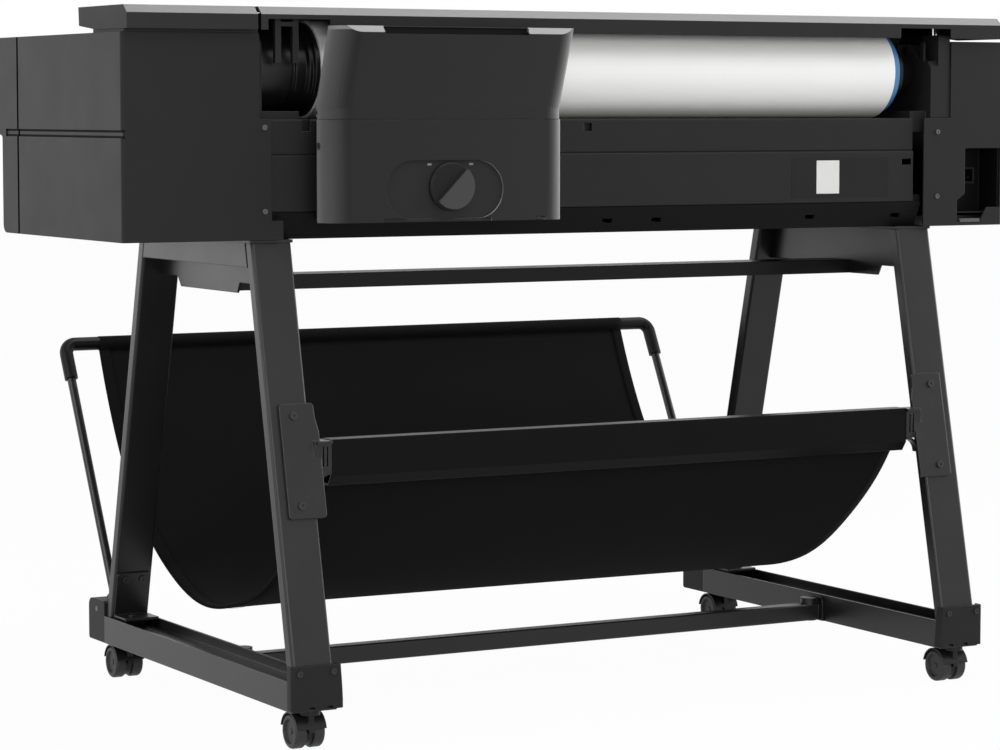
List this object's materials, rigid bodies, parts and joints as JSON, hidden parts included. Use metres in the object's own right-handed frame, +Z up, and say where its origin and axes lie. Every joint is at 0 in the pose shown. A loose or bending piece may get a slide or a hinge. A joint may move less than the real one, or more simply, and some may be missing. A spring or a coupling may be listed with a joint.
{
  "type": "large format plotter",
  "caption": "Floor-standing wide paper plotter on a wheeled stand, with a roll spindle under a hinged cover, a rear sheet feeder and a folding cloth bin",
  "frame": {"origin": "on the floor below the middle of the bounding box", "axes": "+X along the machine toward the end with the control panel, +Y toward the rear with the roll and the sheet feeder, +Z up"},
  "size_m": [1.386, 0.8731, 0.95],
  "materials": {
    "leg_paint": "fine textured dark grey powder coat",
    "rail_paint": "fine textured dark grey powder coat",
    "beam_paint": "satin black",
    "shoe_plastic": "fine grain",
    "bolt_steel": "blackened screw heads",
    "caster_plastic": "semi-matte moulding",
    "caster_tread": "dark tread",
    "tube_paint": "satin dark grey",
    "elbow_plastic": "satin black",
    "sling_fabric": "woven black cloth",
    "cap_plastic": "fine spark-eroded grain",
    "panel_plastic": "fine spark-eroded grain",
    "sill_plastic": "fine grain",
    "feeder_plastic": "fine grain with a slight sheen",
    "cover_plastic": "fine grain with a bright bevel",
    "knob_plastic": "satin black",
    "inlet_plastic": "satin black",
    "fitting_steel": "grey",
    "hub_plastic": "satin black",
    "stop_plastic": "light blue",
    "core_board": "wound kraft board",
    "roll_paper": "smooth bond paper, wound",
    "frame_steel": "zinc-plated sheet",
    "rail_steel": "ground bar",
    "carriage_plastic": "fine grain",
    "belt_rubber": "toothed belt",
    "platen_plastic": "ribbed black",
    "roller_rubber": "grit-coated roller",
    "window_plastic": "smoked",
    "screen_gloss": "dark touch panel",
    "pin_steel": "drawn pin"
  },
  "bodies": {
    "frame": {"left_rear_leg": "leg_paint", "right_rear_leg": "leg_paint", "front_legs": "leg_paint", "top_rails": "rail_paint", "left_foot_rail": "rail_paint", "right_foot_rail": "rail_paint", "foot_shoes": "shoe_plastic", "bin_sockets": "shoe_plastic", "rear_beam": "beam_paint", "stand_brackets": "rail_paint", "upper_crossbar": "rail_paint", "lower_crossbar": "rail_paint", "stand_bolts": "bolt_steel", "base_tray": "frame_steel", "left_end_cap": "cap_plastic", "right_end_cap": "cap_plastic", "left_front_corner": "cap_plastic", "right_front_corner": "cap_plastic", "rear_upper_panel": "panel_plastic", "rear_lower_panel": "panel_plastic", "rear_sill": "sill_plastic", "front_panel": "panel_plastic", "rear_fittings": "fitting_steel", "power_inlet": "inlet_plastic", "roll_trough": "panel_plastic", "left_spindle_bracket": "panel_plastic", "right_spindle_bracket": "panel_plastic", "cover_end_piece": "cover_plastic", "feeder_box": "feeder_plastic", "side_plates": "frame_steel", "carriage_rail": "rail_steel", "carriage_belt": "belt_rubber", "platen": "platen_plastic", "service_station": "carriage_plastic", "ink_cartridges": "carriage_plastic", "hinge_pins": "pin_steel"},
    "rear_left_caster": {"rear_left_hood": "caster_plastic"},
    "rear_right_caster": {"rear_right_hood": "caster_plastic"},
    "front_left_caster": {"front_left_hood": "caster_plastic"},
    "front_right_caster": {"front_right_hood": "caster_plastic"},
    "rear_left_wheel_pair": {"rear_left_wheels": "caster_tread"},
    "rear_right_wheel_pair": {"rear_right_wheels": "caster_tread"},
    "front_left_wheel_pair": {"front_left_wheels": "caster_tread"},
    "front_right_wheel_pair": {"front_right_wheels": "caster_tread"},
    "media_bin": {"bin_arms": "tube_paint", "bin_bar": "tube_paint", "bin_elbows": "elbow_plastic", "bin_sling": "sling_fabric"},
    "loaded_spindle": {"spindle": "hub_plastic", "core_stop": "stop_plastic", "paper_core": "core_board", "paper_roll": "roll_paper"},
    "cover": {"roll_cover": "cover_plastic"},
    "support": {"paper_support": "feeder_plastic"},
    "lock": {"lock_knob": "knob_plastic"},
    "pickup": {"pickup_roller": "roller_rubber"},
    "carriage": {"print_carriage": "carriage_plastic"},
    "feed": {"feed_roller": "roller_rubber"},
    "window": {"front_window": "window_plastic"},
    "screen": {"control_panel": "screen_gloss"}
  },
  "joints": [
    {"name": "rear_left_swivel", "type": "hinge", "parent": "frame", "child": "rear_left_caster", "pos_m": [0.482, 0.41389, 0.052], "axis": [0, 0, 1], "continuous": true},
    {"name": "rear_left_wheel_spin", "type": "hinge", "parent": "rear_left_caster", "child": "rear_left_wheel_pair", "pos_m": [0.482, 0.39589, 0.0225], "axis": [1, 0, 0], "continuous": true},
    {"name": "rear_right_swivel", "type": "hinge", "parent": "frame", "child": "rear_right_caster", "pos_m": [-0.54, 0.41389, 0.052], "axis": [0, 0, 1], "continuous": true},
    {"name": "rear_right_wheel_spin", "type": "hinge", "parent": "rear_right_caster", "child": "rear_right_wheel_pair", "pos_m": [-0.54, 0.39589, 0.0225], "axis": [1, 0, 0], "continuous": true},
    {"name": "front_left_swivel", "type": "hinge", "parent": "frame", "child": "front_left_caster", "pos_m": [0.482, -0.18624, 0.052], "axis": [0, 0, 1], "continuous": true},
    {"name": "front_left_wheel_spin", "type": "hinge", "parent": "front_left_caster", "child": "front_left_wheel_pair", "pos_m": [0.482, -0.20424, 0.0225], "axis": [1, 0, 0], "continuous": true},
    {"name": "front_right_swivel", "type": "hinge", "parent": "frame", "child": "front_right_caster", "pos_m": [-0.54, -0.18624, 0.052], "axis": [0, 0, 1], "continuous": true},
    {"name": "front_right_wheel_spin", "type": "hinge", "parent": "front_right_caster", "child": "front_right_wheel_pair", "pos_m": [-0.54, -0.20424, 0.0225], "axis": [1, 0, 0], "continuous": true},
    {"name": "bin_fold", "type": "hinge", "parent": "frame", "child": "media_bin", "pos_m": [-0.029, -0.23024, 0.098], "axis": [-1, 0, 0], "range_deg": [0, 34], "deforming": ["bin_sling"]},
    {"name": "roll_spin", "type": "hinge", "parent": "frame", "child": "loaded_spindle", "pos_m": [-0.048, 0.24346, 0.871], "axis": [1, 0, 0], "continuous": true},
    {"name": "roll_cover_hinge", "type": "hinge", "parent": "frame", "child": "cover", "pos_m": [-0.048, 0.17046, 0.93], "axis": [1, 0, 0], "range_deg": [0, 95]},
    {"name": "paper_support_hinge", "type": "hinge", "parent": "frame", "child": "support", "pos_m": [0.2549, 0.33846, 0.814], "axis": [1, 0, 0], "range_deg": [0, 20]},
    {"name": "lock_turn", "type": "hinge", "parent": "frame", "child": "lock", "pos_m": [0.2549, 0.37646, 0.718], "axis": [0, 1, 0], "range_deg": [0, 90]},
    {"name": "pickup_spin", "type": "hinge", "parent": "frame", "child": "pickup", "pos_m": [0.2549, 0.34446, 0.771], "axis": [1, 0, 0], "continuous": true},
    {"name": "carriage_slide", "type": "slide", "parent": "frame", "child": "carriage", "axis": [-1, 0, 0], "range_m": [0, 1.1]},
    {"name": "feed_spin", "type": "hinge", "parent": "frame", "child": "feed", "pos_m": [-0.048, 0.10246, 0.76296], "axis": [1, 0, 0], "continuous": true},
    {"name": "window_hinge", "type": "hinge", "parent": "frame", "child": "window", "pos_m": [-0.048, 0.13046, 0.908], "axis": [-1, 0, 0], "range_deg": [0, 70]},
    {"name": "screen_tilt", "type": "hinge", "parent": "frame", "child": "screen", "pos_m": [0.5977, -0.11154, 0.911], "axis": [1, 0, 0], "range_deg": [0, 50]}
  ]
}
